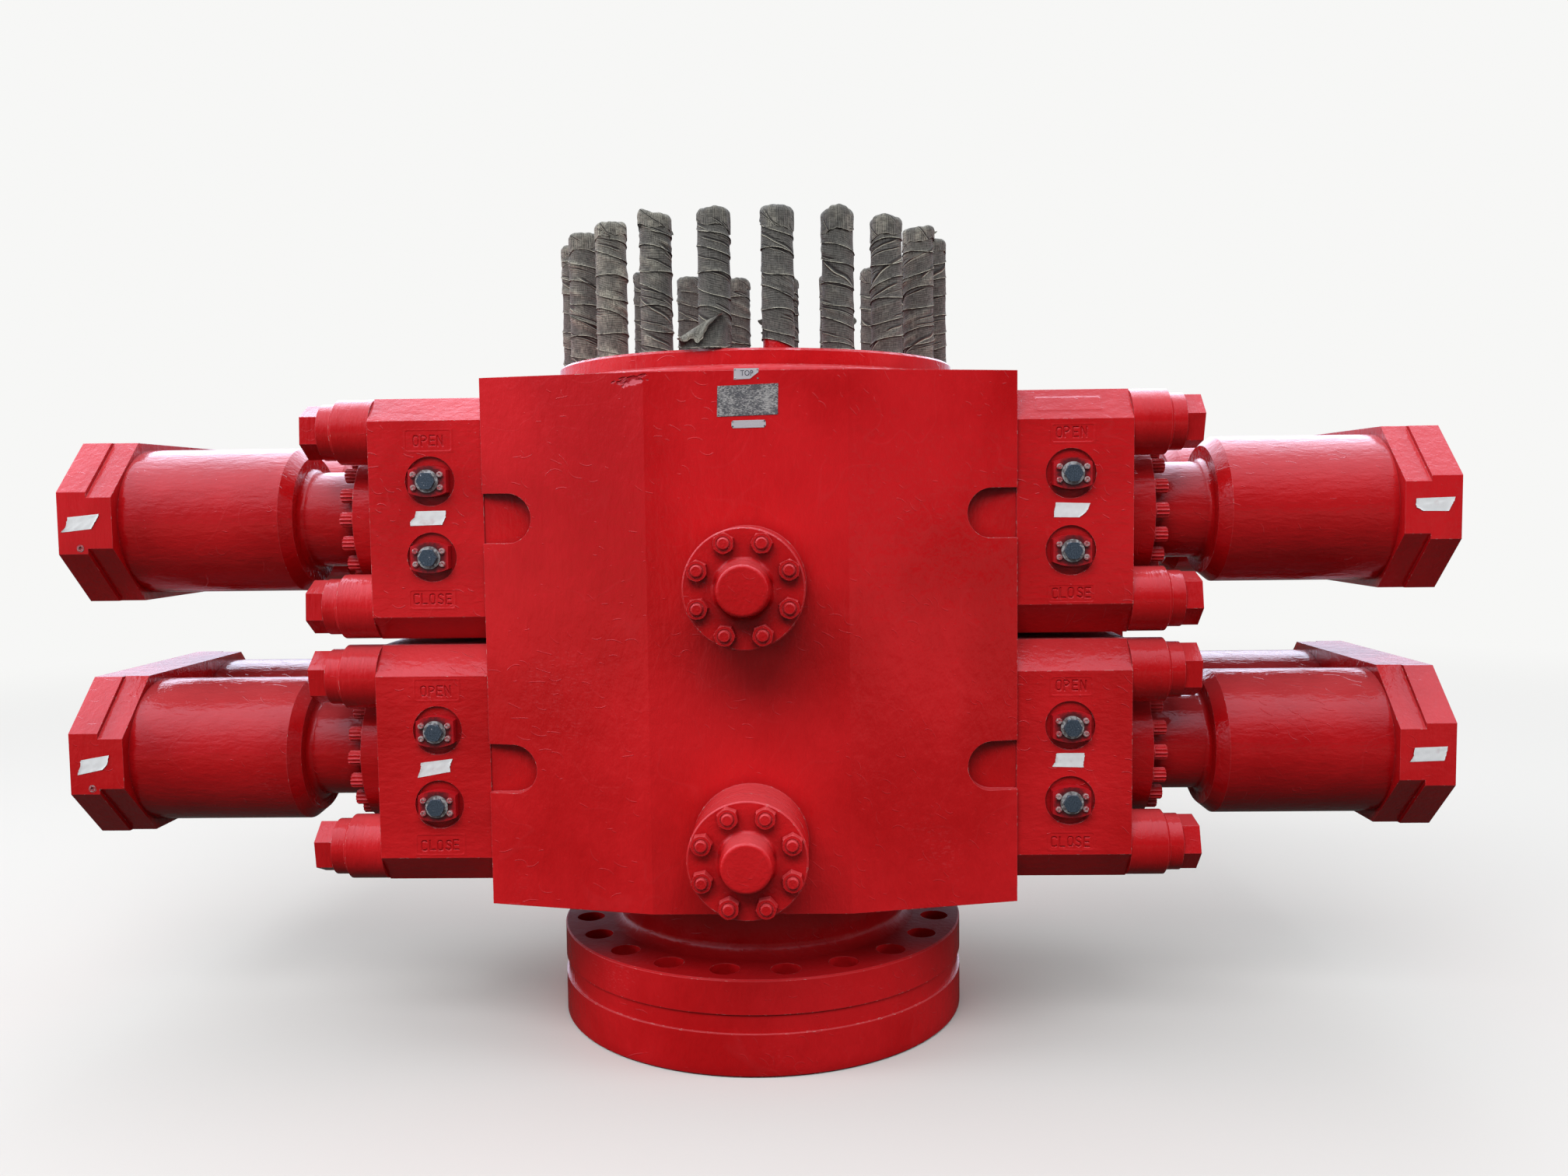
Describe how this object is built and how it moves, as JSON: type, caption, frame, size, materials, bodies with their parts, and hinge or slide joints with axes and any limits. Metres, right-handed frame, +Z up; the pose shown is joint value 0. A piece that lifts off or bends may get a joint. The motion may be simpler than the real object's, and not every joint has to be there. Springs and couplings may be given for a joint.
{
  "type": "double ram blowout preventer",
  "caption": "Double ram blowout preventer with bonnets, paired operating cylinders, end yokes, blinded side outlets, a bolted foot flange and wrapped top studs.",
  "frame": {"origin": "on the wellbore axis at the bottom face of the lower flange", "axes": "+Z up along the wellbore, +X along the rams to the right as seen from the front, -Y towards the front"},
  "size_m": [3.638, 1.732, 2.1912],
  "materials": {
    "body_paint": "glossy red enamel, brushed on thick",
    "bonnet_paint": "glossy red enamel, brushed on thick",
    "cylinder_paint": "glossy red enamel, brushed on thick",
    "yoke_paint": "glossy red enamel, brushed on thick",
    "bolt_paint": "glossy red enamel, brushed on thick",
    "cover_paint": "glossy red enamel, brushed on thick",
    "stud_paint": "glossy red enamel, brushed on thick",
    "sacking": "coarse woven sacking, weathered",
    "ram_steel": "oiled machined steel",
    "port_steel": "phosphated steel with red overspray"
  },
  "bodies": {
    "root": {"bonnet_bolts_lower_left": "bolt_paint", "bonnet_bolts_lower_right": "bolt_paint", "bonnet_bolts_upper_left": "bolt_paint", "bonnet_bolts_upper_right": "bolt_paint", "bonnet_lower_left": "bonnet_paint", "bonnet_lower_right": "bonnet_paint", "bonnet_upper_left": "bonnet_paint", "bonnet_upper_right": "bonnet_paint", "cylinder_lower_left_front": "cylinder_paint", "cylinder_lower_left_rear": "cylinder_paint", "cylinder_lower_right_front": "cylinder_paint", "cylinder_lower_right_rear": "cylinder_paint", "cylinder_upper_left_front": "cylinder_paint", "cylinder_upper_left_rear": "cylinder_paint", "cylinder_upper_right_front": "cylinder_paint", "cylinder_upper_right_rear": "cylinder_paint", "end_yoke_lower_left": "yoke_paint", "end_yoke_lower_right": "yoke_paint", "end_yoke_upper_left": "yoke_paint", "end_yoke_upper_right": "yoke_paint", "outlet_cover_lower_front": "cover_paint", "outlet_cover_lower_rear": "cover_paint", "outlet_cover_upper_front": "cover_paint", "outlet_cover_upper_rear": "cover_paint", "port_fittings_lower_left": "port_steel", "port_fittings_lower_right": "port_steel", "port_fittings_upper_left": "port_steel", "port_fittings_upper_right": "port_steel", "preventer_body": "body_paint", "ram_lower_left": "ram_steel", "ram_lower_right": "ram_steel", "ram_upper_left": "ram_steel", "ram_upper_right": "ram_steel", "stud_wraps": "sacking", "top_studs": "stud_paint"}
  },
  "joints": []
}
